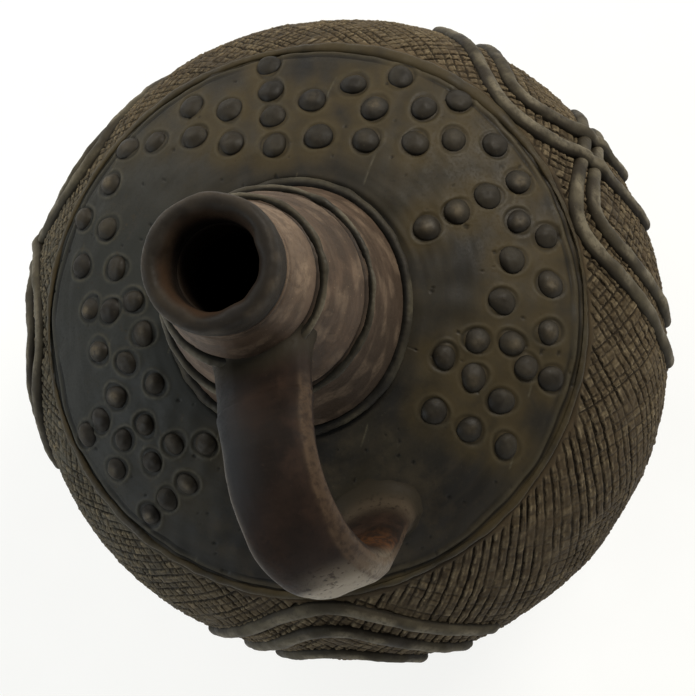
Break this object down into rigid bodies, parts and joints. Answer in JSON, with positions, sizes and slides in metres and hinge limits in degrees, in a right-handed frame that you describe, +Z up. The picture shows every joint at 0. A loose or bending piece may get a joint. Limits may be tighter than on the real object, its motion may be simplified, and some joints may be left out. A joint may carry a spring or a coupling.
{
  "type": "clay jug",
  "caption": "Hand-built black clay jug with a round cross-hatched belly, pellet-studded shoulder, ribbed conical neck and strap handle.",
  "frame": {"origin": "centre of the foot, on the surface the jug stands on", "axes": "+Z up along the jug's axis, through the mouth; +X towards the handle"},
  "size_m": [0.251, 0.2567, 0.2905],
  "materials": {
    "burnished_clay": "smoke-fired dark olive-black clay, burnished, satin",
    "hatched_clay": "smoke-fired brown-black clay, incised crosshatch, matt",
    "neck_clay": "smoke-fired brown-grey clay, wiped and worn, satin",
    "handle_clay": "burnished black clay with worn pale edges, satin",
    "pellet_clay": "pressed clay pellets, burnished tops with tan halos",
    "coil_clay": "rolled clay coils, lightly burnished",
    "foot_clay": "plain smoke-fired clay, matt, scuffed where it stands"
  },
  "bodies": {
    "root": {"base_disc": "foot_clay", "lower_bowl": "hatched_clay", "belly_wall": "hatched_clay", "shoulder_dome": "burnished_clay", "shoulder_band": "burnished_clay", "neck_lower": "neck_clay", "neck_middle": "neck_clay", "neck_top": "neck_clay", "neck_rib_lower": "neck_clay", "neck_rib_middle": "neck_clay", "neck_rib_upper": "neck_clay", "lip_ring": "neck_clay", "handle_strap": "handle_clay", "handle_neck_pad": "handle_clay", "handle_foot_pad": "handle_clay", "pellets_by_handle_left": "pellet_clay", "pellets_left": "pellet_clay", "pellets_far": "pellet_clay", "pellets_right": "pellet_clay", "pellets_by_handle_right": "pellet_clay", "arch_left_under_outer": "coil_clay", "arch_left_under_inner": "coil_clay", "arch_left_over_outer": "coil_clay", "arch_left_over_inner": "coil_clay", "arch_far_under_outer": "coil_clay", "arch_far_under_inner": "coil_clay", "arch_right_over_outer": "coil_clay", "arch_right_over_inner": "coil_clay", "arch_handle_outer": "coil_clay", "arch_handle_middle": "coil_clay", "arch_handle_inner": "coil_clay"}
  },
  "joints": []
}
